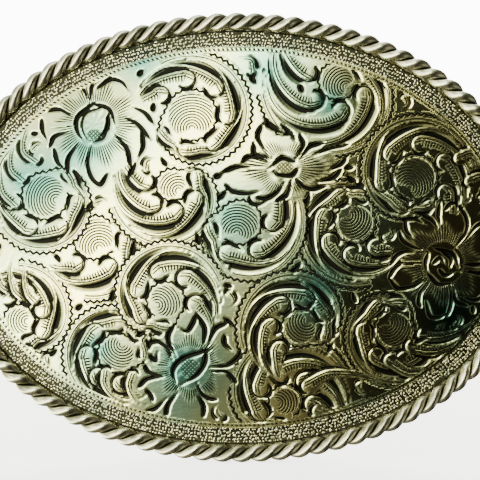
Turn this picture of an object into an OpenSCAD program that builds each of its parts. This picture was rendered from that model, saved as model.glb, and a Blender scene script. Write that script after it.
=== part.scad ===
// Western plate buckle: an engraved oval face on a domed backing plate, a rope edge of
// two twisted wires, and on the back a swinging bail for the strap and a fixed hook.
// Millimetres. +X is the wearer's left, -Y the front, +Z up. The origin is the middle of
// the backing plate's rear surface, where the belt line crosses the plate's centre.

/* [Plates] */
// Overall width, outside the rope edge
buckle_w = 95; // [85:1:105]
// Overall height, outside the rope edge
buckle_h = 70; // [62:1:78]
// Radius of the dome that both plates are pressed to, at the rear surface
dome_r = 190; // [160:5:260]
// Thickness of the nickel silver backing plate
backing_t = 1.2; // [0.9:0.1:1.6]
// Thickness of the engraved silver face
face_t = 0.9; // [0.7:0.1:1.2]

/* [Rope edge] */
// Diameter over the two twisted wires
rope_d = 2.8; // [2.4:0.1:3.2]
// Full turns that each wire makes around the oval
rope_turns = 42; // [36:1:46]

/* [Bail] */
// Width of the strap that the bail takes
strap_w = 38; // [32:1:40]
// Diameter of the bail's wire
bail_d = 2.4; // [2:0.1:2.8]
// From the hinge line to the middle of the bail's strap bar
bail_reach = 12.5; // [11:0.5:14]
// Place of the hinge along the plate's width
hinge_x = 21; // [18:0.5:22]
// Length of the hinge tube
tube_len = 33; // [28:1:34]

/* [Hook] */
// Diameter of the hook's rod
hook_d = 3.2; // [2.8:0.1:3.6]
// Place of the hook along the plate's width
hook_x = -27; // [-31:0.5:-24]
// How far the hook leans towards the bail, away from the strap's pull
hook_lean = 24; // [15:1:30]

/* [Hidden] */
$fn = 96;
dome_fn = 512;
oval_fn = 256;

// Oval outlines, as half widths and half heights, each set in from the overall size
rim_inset = 0.6;
rope_inset = rope_d / 2;
face_inset = rope_d + 0.05;
function half_w(inset) = buckle_w / 2 - inset;
function half_h(inset) = buckle_h / 2 - inset;

// Rope: the wires' size and the helix that they follow
wire_gap = 0.04;
strand_r = (rope_d - wire_gap) / 4;
helix_r = rope_d / 2 - strand_r;
solder_t = 0.2;
rope_seat_r = dome_r + backing_t + solder_t + rope_d / 2;
ring_steps = 10;
strand_sides = 8;

// Solder that beds the rope on the backing plate's rim
solder_half_w = 0.9;

// Hinge and bail, in the hinge's own frame on the dome
foot_w = 8;
foot_len = 36;
foot_t = 1.4;
foot_corner_r = 1.5;
tube_r = 2.1;
bore_clearance = 0.05;
tube_sink = 0.2;
hinge_h = foot_t + tube_r - tube_sink;
bail_r = bail_d / 2;
bend_r = 2.6;
strap_play = 1;
bail_half = (strap_w + 2 * strap_play) / 2 + bail_r;
bail_end_gap = 1;
braze_w = 2.5;
braze_a = 25;

// Hook, in its own frame on the dome
pad_r = 4.6;
pad_t = 1.1;
hook_r = hook_d / 2;
hook_bend_r = 4;
hook_rise = 1.4;
hook_tip = 5;
hook_round = 0.5;
hook_braze_r = 0.7;

// Angle on the dome of a place along the plate's width
function dome_angle(x) = asin(x / dome_r);

silver = "silver";
nickel_silver = "lightsteelblue";
oxidised = "dimgray";

// Places its children on the dome's rear surface: +Y is away from the plate, and Z stays up
module on_dome(x) {
    translate([0, dome_r, 0]) rotate([0, 0, dome_angle(x)]) translate([0, -dome_r, 0]) children();
}

// The space inside the dome's rear surface grown by out
module dome_ball(out) {
    translate([0, dome_r, 0]) rotate([90, 0, 0]) sphere(r = dome_r + out, $fn = dome_fn);
}

// An upright oval column through the plate, set in from the overall outline
module oval_column(inset) {
    depth = 40;
    translate([0, depth / 2, 0]) rotate([90, 0, 0])
        scale([1, half_h(inset) / half_w(inset), 1])
            cylinder(r = half_w(inset), h = depth, $fn = oval_fn);
}

// A domed sheet between two offsets from the rear surface
module domed_sheet(inset, from, to) {
    intersection() {
        oval_column(inset);
        difference() {
            dome_ball(to);
            dome_ball(from);
        }
    }
}

module backing_plate() {
    color(nickel_silver) domed_sheet(rim_inset, 0, backing_t);
}

module face_plate() {
    color(silver) domed_sheet(face_inset, backing_t, backing_t + face_t);
}

// Rope path: arc length round the oval against the oval's own angle
oval_steps = 360;
function oval_at(t) = [half_w(rope_inset) * cos(t), half_h(rope_inset) * sin(t)];
oval_steps_len = [for (i = [0 : oval_steps - 1])
    norm(oval_at((i + 1) * 360 / oval_steps) - oval_at(i * 360 / oval_steps))];
length_to_angle = [for (i = 0, s = 0; i <= oval_steps;
                        s = s + (i < oval_steps ? oval_steps_len[i] : 0), i = i + 1)
    [s, i * 360 / oval_steps]];
rope_len = length_to_angle[oval_steps][0];

// A point of the rope's middle line, at a share u of its length, on the dome
function rope_at(u) =
    let (p = oval_at(lookup((u - floor(u)) * rope_len, length_to_angle)))
    [p[0], dome_r - sqrt(rope_seat_r * rope_seat_r - p[0] * p[0] - p[1] * p[1]), p[1]];
function unit(v) = v / norm(v);
function rope_front(u) = unit(rope_at(u) - [0, dome_r, 0]);
function rope_along(u) = unit(rope_at(u + 0.001) - rope_at(u - 0.001));

// The direction from the rope's middle line to a wire, as the wire winds round it
function wire_side(u, phase) =
    let (turn = 360 * rope_turns * u + phase, front = rope_front(u))
    cos(turn) * cross(rope_along(u), front) + sin(turn) * front;
function wire_at(u, phase) = rope_at(u) + helix_r * wire_side(u, phase);

// One ring of points round a wire, square to the wire
function wire_ring(u, phase) =
    let (step = 0.02 / rope_turns,
         along = unit(wire_at(u + step, phase) - wire_at(u - step, phase)),
         side = unit(cross(along, wire_side(u, phase))),
         up = cross(side, along))
    [for (k = [0 : strand_sides - 1])
        let (a = 360 * k / strand_sides)
        wire_at(u, phase) + strand_r * (cos(a) * up + sin(a) * side)];

// A closed wire that winds round the whole rope edge
module rope_wire(phase) {
    rings = rope_turns * ring_steps;
    points = [for (i = [0 : rings - 1]) each wire_ring(i / rings, phase)];
    faces = [for (i = [0 : rings - 1]) for (k = [0 : strand_sides - 1])
        let (a = i * strand_sides + k,
             b = i * strand_sides + (k + 1) % strand_sides,
             c = ((i + 1) % rings) * strand_sides + (k + 1) % strand_sides,
             d = ((i + 1) % rings) * strand_sides + k)
        each [[a, c, b], [a, d, c]]];
    polyhedron(points = points, faces = faces, convexity = 8);
}

module rope_strand_one() {
    color(silver) rope_wire(0);
}

module rope_strand_two() {
    color(silver) rope_wire(180);
}

// The bed of solder under the rope
module rope_solder() {
    color(oxidised) difference() {
        domed_sheet(rope_inset - solder_half_w, backing_t, backing_t + solder_t);
        oval_column(rope_inset + solder_half_w);
    }
}

// A rod along Z, centred
module rod_z(r, length) {
    cylinder(r = r, h = length, center = true);
}

// A round-cornered bar of the hinge's foot, ground to the dome and saddled for the tube
module hinge_foot() {
    color(nickel_silver) intersection() {
        dome_ball(0);
        on_dome(hinge_x) difference() {
            translate([0, foot_t, 0]) rotate([90, 0, 0]) linear_extrude(foot_t + 1) rounded_bar(foot_w, foot_len);
            translate([0, hinge_h, 0]) rod_z(tube_r, foot_len + 2);
        }
    }
}

module rounded_bar(w, h) {
    square([w, h - 2 * foot_corner_r], center = true);
    square([w - 2 * foot_corner_r, h], center = true);
    for (sx = [-1, 1]) for (sy = [-1, 1])
        translate([sx * (w / 2 - foot_corner_r), sy * (h / 2 - foot_corner_r)]) circle(r = foot_corner_r);
}

module hinge_tube() {
    color(nickel_silver) on_dome(hinge_x) translate([0, hinge_h, 0]) difference() {
        rod_z(tube_r, tube_len);
        rod_z(bail_r + bore_clearance, tube_len + 2);
    }
}

// Braze along both sides of the tube, where it meets the foot
module hinge_braze() {
    color(oxidised) on_dome(hinge_x) translate([0, hinge_h, 0]) for (side = [0, 1])
        mirror([side, 0, 0]) difference() {
            linear_extrude(tube_len, center = true)
                polygon([[0, foot_t - hinge_h], [braze_w, foot_t - hinge_h],
                         [tube_r * cos(braze_a), -tube_r * sin(braze_a)]]);
            rod_z(tube_r, tube_len + 2);
        }
}

// A closed rectangle of round wire, whose two ends meet inside the tube
module bail_loop() {
    corner = bail_half - bend_r;
    color(silver) on_dome(hinge_x) translate([0, hinge_h, 0]) {
        for (end = [-1, 1]) {
            translate([0, 0, end * (corner + bail_end_gap / 2) / 2])
                rod_z(bail_r, corner - bail_end_gap / 2);
            translate([bail_reach / 2, 0, end * bail_half])
                rotate([0, 90, 0]) rod_z(bail_r, bail_reach - 2 * bend_r);
            for (far = [0, 1])
                translate([far == 0 ? bend_r : bail_reach - bend_r, 0, end * corner])
                    rotate([90, 0, 0]) bail_bend(far == 0, end);
        }
        translate([bail_reach, 0, 0]) rod_z(bail_r, 2 * corner);
    }
}

// A quarter bend of the bail's wire, turned to its corner
module bail_bend(near, end) {
    start = near ? (end > 0 ? 90 : 180) : (end > 0 ? 0 : 270);
    rotate([0, 0, start]) rotate_extrude(angle = 90) translate([bend_r, 0]) circle(r = bail_r);
}

module hook_pad() {
    color(nickel_silver) intersection() {
        dome_ball(0);
        on_dome(hook_x) rotate([-90, 0, 0]) difference() {
            translate([0, 0, -1]) cylinder(r = pad_r, h = pad_t + 1);
            translate([0, 0, -2]) cylinder(r = hook_r, h = pad_t + 4);
        }
    }
}

// A rod that stands up through its pad and leans over, with an eased end
module hook_post() {
    color(silver) {
        intersection() {
            dome_ball(0);
            on_dome(hook_x) rotate([-90, 0, 0])
                translate([0, 0, -1]) cylinder(r = hook_r, h = pad_t + hook_rise + 1);
        }
        on_dome(hook_x) translate([hook_bend_r, pad_t + hook_rise, 0]) {
            rotate([0, 0, 180 - hook_lean])
                rotate_extrude(angle = hook_lean) translate([hook_bend_r, 0]) circle(r = hook_r);
            rotate([0, 0, -hook_lean]) translate([-hook_bend_r, 0, 0]) rotate([-90, 0, 0]) hook_peg();
        }
    }
}

// The hook's straight free end, whose corner is rounded
module hook_peg() {
    core = hook_r - hook_round;
    rotate_extrude() {
        square([core, hook_tip + hook_round]);
        square([hook_r, hook_tip]);
        intersection() {
            translate([core, hook_tip]) circle(r = hook_round);
            translate([core, hook_tip]) square(hook_round);
        }
    }
}

// The collar of braze where the hook leaves its pad
module hook_braze() {
    color(oxidised) on_dome(hook_x) translate([0, pad_t, 0]) rotate([-90, 0, 0])
        rotate_extrude()
            polygon([[hook_r, 0], [hook_r + hook_braze_r, 0], [hook_r, hook_braze_r]]);
}

backing_plate();
face_plate();
rope_strand_one();
rope_strand_two();
rope_solder();
hinge_foot();
hinge_tube();
hinge_braze();
bail_loop();
hook_pad();
hook_post();
hook_braze();
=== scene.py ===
import math

import bpy
import numpy as np
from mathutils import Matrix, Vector


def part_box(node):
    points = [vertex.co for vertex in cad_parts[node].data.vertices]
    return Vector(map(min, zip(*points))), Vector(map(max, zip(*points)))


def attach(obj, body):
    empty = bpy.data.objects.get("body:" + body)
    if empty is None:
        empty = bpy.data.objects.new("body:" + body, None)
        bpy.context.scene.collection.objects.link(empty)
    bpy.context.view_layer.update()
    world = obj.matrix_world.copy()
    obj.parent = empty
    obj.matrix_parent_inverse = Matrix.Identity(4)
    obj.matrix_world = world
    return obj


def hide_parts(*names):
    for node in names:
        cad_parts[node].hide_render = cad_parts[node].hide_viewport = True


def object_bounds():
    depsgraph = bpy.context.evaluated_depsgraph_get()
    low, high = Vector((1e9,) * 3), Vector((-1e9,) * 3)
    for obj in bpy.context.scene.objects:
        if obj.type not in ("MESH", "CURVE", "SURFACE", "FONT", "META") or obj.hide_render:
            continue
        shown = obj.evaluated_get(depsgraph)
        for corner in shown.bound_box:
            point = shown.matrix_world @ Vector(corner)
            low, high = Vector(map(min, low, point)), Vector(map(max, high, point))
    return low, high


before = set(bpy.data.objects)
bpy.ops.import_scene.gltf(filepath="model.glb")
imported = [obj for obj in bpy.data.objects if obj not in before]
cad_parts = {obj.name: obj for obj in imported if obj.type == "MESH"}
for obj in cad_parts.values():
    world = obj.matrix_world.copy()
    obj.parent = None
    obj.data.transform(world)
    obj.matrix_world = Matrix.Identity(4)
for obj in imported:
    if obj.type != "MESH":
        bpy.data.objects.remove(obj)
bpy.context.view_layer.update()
mm = 0.001

# ---------------------------------------------------------------- backing plate
# The plate that carries everything: nickel silver sheet, pressed to a shallow dome and
# trimmed to an oval. Its back is brushed along its length and shows fine scratches from
# wear against the belt.
backing_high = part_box("backing_plate")[1]
backing_half = backing_high.x / mm
backing_sag = backing_high.y / mm
dome_radius = (backing_half**2 + backing_sag**2) / (2 * backing_sag)
dome_middle = Vector((0, dome_radius * mm, 0))


def add(tree, kind, **values):
    """A new node; a value named after a socket fills it or is linked to it."""
    made = tree.nodes.new(kind)
    for name, value in values.items():
        key = name.replace("_", " ")
        if hasattr(made, name) and name not in ("color", "height", "width"):
            setattr(made, name, value)
            continue
        socket = next(s for s in made.inputs if s.name.lower() == key.lower())
        join(tree, socket, value)
    return made


def join(tree, socket, value):
    """Fills a socket with a constant, or links it to another node's output."""
    if isinstance(value, bpy.types.NodeSocket):
        tree.links.new(value, socket)
    else:
        socket.default_value = value


def sums(tree, operation, *values, clamp=False):
    """A math node on one to three values or sockets."""
    made = tree.nodes.new("ShaderNodeMath")
    made.operation = operation
    made.use_clamp = clamp
    for socket, value in zip(made.inputs, values):
        join(tree, socket, value)
    return made.outputs[0]


def vectors(tree, operation, *values):
    """A vector math node on one or two values or sockets."""
    made = tree.nodes.new("ShaderNodeVectorMath")
    made.operation = operation
    for socket, value in zip([s for s in made.inputs if s.name != "Scale"], values):
        join(tree, socket, value)
    return made


def ramp_node(tree, value, low, high, start=0.0, end=1.0):
    """A smooth step of a socket from low to high."""
    made = tree.nodes.new("ShaderNodeMapRange")
    made.interpolation_type = "SMOOTHSTEP"
    for name, given in (("Value", value), ("From Min", low), ("From Max", high)):
        join(tree, made.inputs[name], given)
    join(tree, made.inputs["To Min"], start)
    join(tree, made.inputs["To Max"], end)
    return made.outputs["Result"]


def tint(tree, share, first, second):
    """One colour, or direction, turning into another by a share from 0 to 1."""
    made = tree.nodes.new("ShaderNodeMix")
    made.data_type = "RGBA"
    join(tree, made.inputs["Factor"], share)
    join(tree, made.inputs[6], first)
    join(tree, made.inputs[7], second)
    return made.outputs[2]


def aged_metal_group():
    """Old polished metal: cloudy tarnish, drawn grain and fine scratches."""
    group = bpy.data.node_groups.new("aged_metal", "ShaderNodeTree")
    wanted = (
        ("Bright", "NodeSocketColor", (0.8, 0.8, 0.75, 1)),
        ("Tarnish", "NodeSocketColor", (0.3, 0.3, 0.2, 1)),
        ("Cloud", "NodeSocketFloat", 60.0),
        ("Amount", "NodeSocketFloat", 0.5),
        ("Gloss", "NodeSocketFloat", 0.25),
        ("Grain", "NodeSocketVector", (400.0, 4000.0, 4000.0)),
    )
    for name, kind, value in wanted:
        group.interface.new_socket(name=name, in_out="INPUT", socket_type=kind).default_value = value
    for name, kind in (
        ("Color", "NodeSocketColor"),
        ("Roughness", "NodeSocketFloat"),
        ("Height", "NodeSocketFloat"),
    ):
        group.interface.new_socket(name=name, in_out="OUTPUT", socket_type=kind)
    given = group.nodes.new("NodeGroupInput").outputs
    out = group.nodes.new("NodeGroupOutput").inputs
    place = group.nodes.new("ShaderNodeTexCoord").outputs["Object"]
    cloud = add(group, "ShaderNodeTexNoise", Vector=place, Scale=given["Cloud"], Detail=4.0)
    stretched = add(group, "ShaderNodeVectorMath", operation="MULTIPLY")
    join(group, stretched.inputs[0], place)
    join(group, stretched.inputs[1], given["Grain"])
    grain = add(group, "ShaderNodeTexNoise", Vector=stretched.outputs[0], Scale=1.0, Detail=3.0)
    film = sums(group, "MULTIPLY", ramp_node(group, cloud.outputs["Fac"], 0.40, 0.68), given["Amount"])
    join(group, out["Color"], tint(group, film, given["Bright"], given["Tarnish"]))
    streak = sums(group, "MULTIPLY", sums(group, "SUBTRACT", grain.outputs["Fac"], 0.5), 0.08)
    rough = sums(group, "ADD", given["Gloss"], streak)
    film_rough = sums(group, "MULTIPLY", film, 0.04)
    join(group, out["Roughness"], sums(group, "ADD", rough, film_rough, clamp=True))
    join(group, out["Height"], grain.outputs["Fac"])
    return group


aged_metal = aged_metal_group()


def metal(name, bright, tarnish, cloud, amount, gloss, grain, dent):
    """A metal finish with the shared ageing; also returns its tree, shader and ageing node."""
    made = bpy.data.materials.new(name)
    made.use_nodes = True
    tree = made.node_tree
    shader = tree.nodes["Principled BSDF"]
    shader.inputs["Metallic"].default_value = 1.0
    age = tree.nodes.new("ShaderNodeGroup")
    age.node_tree = aged_metal
    age.inputs["Bright"].default_value = (*bright, 1)
    age.inputs["Tarnish"].default_value = (*tarnish, 1)
    age.inputs["Cloud"].default_value = cloud
    age.inputs["Amount"].default_value = amount
    age.inputs["Gloss"].default_value = gloss
    age.inputs["Grain"].default_value = grain
    tree.links.new(age.outputs["Color"], shader.inputs["Base Color"])
    tree.links.new(age.outputs["Roughness"], shader.inputs["Roughness"])
    bump = add(tree, "ShaderNodeBump", Height=age.outputs["Height"], Distance=dent, Strength=1.0)
    tree.links.new(bump.outputs["Normal"], shader.inputs["Normal"])
    return made, tree, shader, age


def finish_node(name, material):
    """Gives a part from the frame its material."""
    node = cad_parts[name]
    node.data.materials.clear()
    node.data.materials.append(material)


nickel_silver, silver_tree, *_ = metal(
    "nickel_silver",
    bright=(0.56, 0.54, 0.46),
    tarnish=(0.28, 0.25, 0.18),
    cloud=85.0,
    amount=0.85,
    gloss=0.30,
    grain=(90.0, 3200.0, 3200.0),
    dent=0.00007,
)
# The frame's mesh has a few stray normals at the dome's pole, in the middle of the back:
# inside this radius the sheet is lit by the dome's true curve instead.
pole_radius = 6.0
sheet_place = silver_tree.nodes.new("ShaderNodeTexCoord").outputs["Object"]
toward_centre = vectors(silver_tree, "SUBTRACT", dome_middle, sheet_place).outputs[0]
true_curve = vectors(silver_tree, "NORMALIZE", toward_centre).outputs[0]
from_pole = vectors(silver_tree, "LENGTH", sheet_place).outputs["Value"]
mesh_curve = silver_tree.nodes.new("ShaderNodeNewGeometry").outputs["Normal"]
past_pole = sums(silver_tree, "GREATER_THAN", from_pole, pole_radius * mm)
sheet_bump = next(n for n in silver_tree.nodes if n.type == "BUMP")
join(silver_tree, sheet_bump.inputs["Normal"], tint(silver_tree, past_pole, true_curve, mesh_curve))
finish_node("backing_plate", nickel_silver)

# ---------------------------------------------------------------- engraved face
# A silver sheet of the same dome, soldered on the backing plate. Scrolls of leaf, four
# flowers and small cuts are graver work; black oxide was left in the cuts and the high
# places were polished bright again.
face_low, face_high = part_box("face_plate")
face_half_x = face_high.x / mm
face_half_z = face_high.z / mm
face_radius = dome_radius - face_low.y / mm
face_thickness = 0.87
face_back_radius = face_radius - face_thickness
cell = 0.225
band_width = 2.8
polish = -0.05
black_oxide = (0.009, 0.009, 0.008, 1)

columns = int(face_half_x / cell) + 2
rows = int(face_half_z / cell) + 2
axis_x = np.arange(-columns, columns + 1) * cell
axis_z = np.arange(-rows, rows + 1) * cell
grid_x, grid_z = np.meshgrid(axis_x, axis_z)
plate = {
    name: np.zeros(grid_x.shape)
    for name in (
        "height", "fade", "line_phase", "line_amount", "tick_phase", "tick_amount",
        "wriggle_along", "wriggle_off", "wriggle_amount", "stain",
    )
}
plate["cut"] = np.full(grid_x.shape, -1.0)
plate["height"] += polish


def ramp(value, low, high):
    """A smooth step from 0 to 1 between low and high."""
    share = np.clip((value - low) / (high - low), 0, 1)
    return share * share * (3 - 2 * share)


def smooth_path(points, steps=8):
    """Points on a smooth curve through the few given ones."""
    p = np.array(points, float)
    p = np.vstack([2 * p[0] - p[1], p, 2 * p[-1] - p[-2]])
    out = []
    for i in range(1, len(p) - 2):
        a, b, c, d = p[i - 1 : i + 3]
        for t in np.arange(steps) / steps:
            cubic = (2 * a - 5 * b + 4 * c - d) * t * t + (3 * b - a - 3 * c + d) * t**3
            out.append(0.5 * (2 * b + (c - a) * t + cubic))
    out.append(p[-2])
    return np.array(out)


def window(low, high):
    """The part of the grid inside a box, with its x and z."""
    cols = slice(max(0, int((low[0] - axis_x[0]) / cell)), max(0, int((high[0] - axis_x[0]) / cell) + 2))
    lines = slice(max(0, int((low[1] - axis_z[0]) / cell)), max(0, int((high[1] - axis_z[0]) / cell) + 2))
    at = (lines, cols)
    return at, grid_x[at], grid_z[at]


def trace(path, half, reach):
    """Distance inside a stroke of changing width, the share along it and the offset to its left."""
    at, xs, zs = window(path.min(0) - reach, path.max(0) + reach)
    inside = np.full(xs.shape, -9.0)
    along = np.zeros(xs.shape)
    side = np.zeros(xs.shape)
    steps = np.linalg.norm(np.diff(path, axis=0), axis=1)
    share = np.concatenate([[0], np.cumsum(steps)]) / steps.sum()
    for i, length in enumerate(steps):
        if length < 1e-9:
            continue
        run = (path[i + 1] - path[i]) / length
        dx = xs - path[i, 0]
        dz = zs - path[i, 1]
        t = np.clip((dx * run[0] + dz * run[1]) / length, 0, 1)
        ex = dx - t * length * run[0]
        ez = dz - t * length * run[1]
        found = half[i] + (half[i + 1] - half[i]) * t - np.hypot(ex, ez)
        better = found > inside
        inside = np.where(better, found, inside)
        along = np.where(better, share[i] + (share[i + 1] - share[i]) * t, along)
        side = np.where(better, run[0] * ez - run[1] * ex, side)
    return at, inside, along, side, steps.sum()


def clear(at, inside):
    """Polishes an area plain again before its own cuts are made."""
    gone = ramp(inside, -0.08, 0.08)
    for name in ("line_amount", "tick_amount", "wriggle_amount"):
        plate[name][at] *= 1 - gone
    plate["cut"][at] = np.minimum(plate["cut"][at], -inside)
    plate["height"][at] += (polish - plate["height"][at]) * gone


def groove(at, inside, slope, depth):
    """A cut with black oxide in it, deepest and blackest where slope is 1."""
    newest = (inside > -1.5 * cell) & (inside >= plate["cut"][at])
    plate["fade"][at] = np.where(newest, slope, plate["fade"][at])
    plate["cut"][at] = np.maximum(plate["cut"][at], inside)
    floor_line = polish - depth * (0.35 + 0.65 * slope)
    sunk = ramp(inside, -0.05, 0.20)
    lower = np.minimum(plate["height"][at], floor_line)
    plate["height"][at] += (lower - plate["height"][at]) * sunk


def shade(at, kind, phase, amount):
    """Fine graver lines or ticks, given by their phase in turns."""
    stronger = amount > plate[kind + "_amount"][at]
    plate[kind + "_phase"][at] = np.where(stronger, phase, plate[kind + "_phase"][at])
    plate[kind + "_amount"][at] = np.where(stronger, amount, plate[kind + "_amount"][at])


line_pitch = 0.44
tick_pitch = 0.47
wedge_depth = 0.28
hook_depth = 0.26
hook_angle = math.radians(64)
leaf_swell = 0.03


def leaf_width(head, share):
    """Half width of a leaf along it: thin at the tail, full at the head."""
    return head * (0.08 + 0.92 * share**0.75)


def wedge_width(wedge, share):
    """Width of the cut beside a leaf: widest at the neck, narrow at both ends."""
    return wedge * (0.12 + 0.88 * ramp(share, 0.22, 0.80)) * (1 - 0.7 * ramp(share, 0.90, 1.0))


def leaf(path, head, outer, wedge=0.75, facing=None):
    """One leaf from tail to head: a wedge cut along its outer side (1 left, -1 right) and a hook
    cut round its head, on the side toward facing, or straight ahead."""
    share = np.linspace(0, 1, len(path))
    half = leaf_width(head, share)
    at, inside, along, side, length = trace(path, half, head + wedge + 0.8)
    off = -inside
    wide = wedge_width(wedge, along)
    band = np.minimum(np.minimum(off, wide - off), side * outer + 0.15)
    slope = (1 - 0.9 * ramp(off / wide, 0.30, 1.0)) * (0.40 + 0.60 * ramp(along, 0.35, 0.80))
    groove(at, band, slope, wedge_depth)
    xs = grid_x[at]
    zs = grid_z[at]
    tip = path[-1]
    toward = np.array(facing) - tip if facing is not None else path[-1] - path[-2]
    turned = np.arctan2(zs - tip[1], xs - tip[0]) - math.atan2(toward[1], toward[0])
    turned = np.abs((turned + math.pi) % (2 * math.pi) - math.pi)
    hook = 0.60 * head**0.5 * (1 - (turned / hook_angle) ** 2)
    clear(at, inside)
    groove(at, np.minimum(off, hook - off), np.ones_like(off), hook_depth)
    local = np.interp(along, share, half)
    depth = local - side * outer
    plate["height"][at] += leaf_swell * ramp(inside, 0.0, 0.8 * head) * (inside > 0)
    edge = ramp(inside, 0.10, 0.26)
    shade(at, "line", depth / line_pitch, edge * (1 - ramp(depth, 0.95, 1.2)) * ramp(along, 0.02, 0.2))
    comb = ramp(depth, 0.55, 0.70) * (1 - ramp(depth, 1.35 * local, 1.7 * local)) * ramp(along, 0.45, 0.62)
    shade(at, "tick", along * length / tick_pitch, edge * comb * (1 - ramp(along, 0.96, 0.995)))


def spiral_radius(phi, eye, reach, wind):
    """How far a scroll's outline is from its eye, phi degrees on from its start."""
    return eye + (reach - eye) * (1 - np.clip(phi / wind, 0, 1) ** 2.2)


def scroll(x, z, eye, turn, start, reach, wind):
    """A leaf scroll: wriggled outline, ring of lobes with their heads on the eye, and the eye."""
    margin = reach + 1.2
    at, xs, zs = window((x - margin, z - margin), (x + margin, z + margin))
    far = np.hypot(xs - x, zs - z)
    phi = (turn * (np.degrees(np.arctan2(zs - z, xs - x)) - start)) % 360
    outline = spiral_radius(phi, eye, reach, wind)
    clear(at, outline - far)
    fine = np.arange(0, 721, 1.0)
    radii = spiral_radius(fine, eye, reach, wind)
    run = np.concatenate([[0], np.cumsum(np.hypot(np.diff(radii), radii[1:] * math.radians(1)))])
    for turned, last in ((phi, 360), (phi + 360, wind + 285)):
        off = far - spiral_radius(turned, eye, reach, wind)
        amount = (1 - ramp(np.abs(off), 0.42, 0.56)) * (turned < last)
        nearer = amount > plate["wriggle_amount"][at]
        values = {"along": np.interp(turned, fine, run), "off": off, "amount": amount}
        for name, value in values.items():
            kept = plate["wriggle_" + name][at]
            plate["wriggle_" + name][at] = np.where(nearer, value, kept)
    border = np.minimum(outline - far, far - eye)
    edge_lines = ramp(border, 0.35, 0.5) * (1 - ramp(outline - far, 0.9, 1.2))
    shade(at, "line", (outline - far) / line_pitch, edge_lines * (phi < wind))
    first_head = -26
    last_head = wind - 42
    head_spacing = 50
    lobes = max(3, round((last_head - first_head) / head_spacing) + 1)
    for lobe in range(lobes, 0, -1):
        at_head = first_head + (last_head - first_head) * (lobe - 1) / (lobes - 1)
        room = float(spiral_radius(max(at_head - 15, 0), eye, reach, wind)) - eye
        head = min(1.25, 0.17 * room + 0.34)
        wedge = 0.44 + 0.66 * head
        sweep = min(34 + 11 * room, at_head + 52, 104)
        v = np.linspace(0, 1, 26)
        angle = at_head - sweep * (1 - v)
        ribbon = min(1.0, 0.14 * room + 0.25)
        outer = spiral_radius(np.maximum(angle, 0), eye, reach, wind) - ribbon
        outer -= leaf_width(head, v) + wedge_width(wedge, v)
        inner = eye + 0.45 + head
        far_out = inner + np.maximum(outer - inner, 0) * (1 - v**1.75) ** 0.78
        bearing = np.radians(start + turn * angle)
        path = np.stack([x + far_out * np.cos(bearing), z + far_out * np.sin(bearing)], 1)
        leaf(path, head, outer=-turn, wedge=wedge, facing=(x, z))
    clear(at, eye - 0.30 - far)
    axis = math.radians(start + turn * (wind - 105))
    hub = (x + 0.52 * eye * math.cos(axis), z + 0.52 * eye * math.sin(axis))
    from_hub = np.hypot(xs - hub[0], zs - hub[1])
    away = np.arctan2(zs - hub[1], xs - hub[0]) - (axis + math.pi)
    away = np.abs((away + math.pi) % (2 * math.pi) - math.pi)
    amount = ramp(eye - 0.42 - far, 0.0, 0.25) * (1 - ramp(away, math.radians(95), math.radians(120)))
    shade(at, "line", from_hub / line_pitch, amount * ramp(from_hub, 0.15, 0.4))


def graver_cut(points, width, depth=0.27):
    """A black tapering arc cut, thickest at a third of its length."""
    path = smooth_path(points)
    path = np.vstack([path[0] + 2.5 * (path[0] - path[1]), path, path[-1] + 3.5 * (path[-1] - path[-2])])
    share = np.linspace(0, 1, len(path))
    half = 0.5 * width * (0.16 + 0.84 * np.sin(math.pi * share**0.62) ** 0.8)
    at, inside, *_ = trace(path, half, width + 0.6)
    groove(at, inside, np.ones_like(inside), depth)


def petals(x, z, reach_x, reach_z, rays, inner, petal_count):
    """The polished disc of a flower, with fine lines out from its middle, longest in each petal."""
    at, xs, zs = window((x - reach_x - 1, z - reach_z - 1), (x + reach_x + 1, z + reach_z + 1))
    share = np.hypot((xs - x) / reach_x, (zs - z) / reach_z)
    clear(at, (1 - share) * min(reach_x, reach_z))
    angle = np.arctan2(zs - z, xs - x)
    far = np.hypot(xs - x, zs - z)
    wave = 0.5 + 0.5 * np.cos(angle * petal_count)
    amount = ramp(far, inner, inner + 0.5) * (1 - ramp(share, 0.52 + 0.2 * wave, 0.74 + 0.22 * wave))
    amount *= np.abs(np.abs(angle) - math.pi) > 0.06
    shade(at, "line", angle * rays / (2 * math.pi), amount)
    plate["height"][at] += 0.06 * ramp(1 - share, 0.0, 0.5) * (0.75 + 0.25 * np.cos(angle * petal_count))


# Scrolls, laid out from the buckle's middle in millimetres: eye x, eye z, eye radius, turn
# (1 anticlockwise), start bearing, radius at the start and degrees wound down to the eye.
scrolls = (
    (-34.5, -13.0, 2.5, -1, 90, 9.5, 200),
    (-18.9, -18.0, 3.1, -1, 250, 9.0, 295),
    (24.1, -14.4, 3.2, -1, -42, 9.0, 288),
    (7.2, -25.4, 2.6, 1, 20, 11.0, 280),
    (-22.4, 0.0, 3.4, 1, 260, 10.0, 140),
    (-30.3, 6.5, 3.7, 1, 215, 9.2, 230),
    (-7.5, 18.9, 4.0, -1, 120, 10.2, 310),
    (-10.3, 8.1, 2.5, 1, 200, 10.5, 220),
    (15.3, 24.3, 3.0, 1, 190, 12.7, 240),
    (17.9, 2.2, 3.2, -1, 285, 10.1, 255),
    (27.4, 9.3, 3.6, 1, 0, 10.3, 340),
    (0.1, 2.3, 3.4, -1, 30, 10.5, 240),
    (9.4, -14.0, 2.9, -1, 200, 10.0, 260),
    (-11.3, -9.8, 2.95, 1, 20, 9.6, 290),
)
for row in scrolls:
    scroll(*row)

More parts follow.
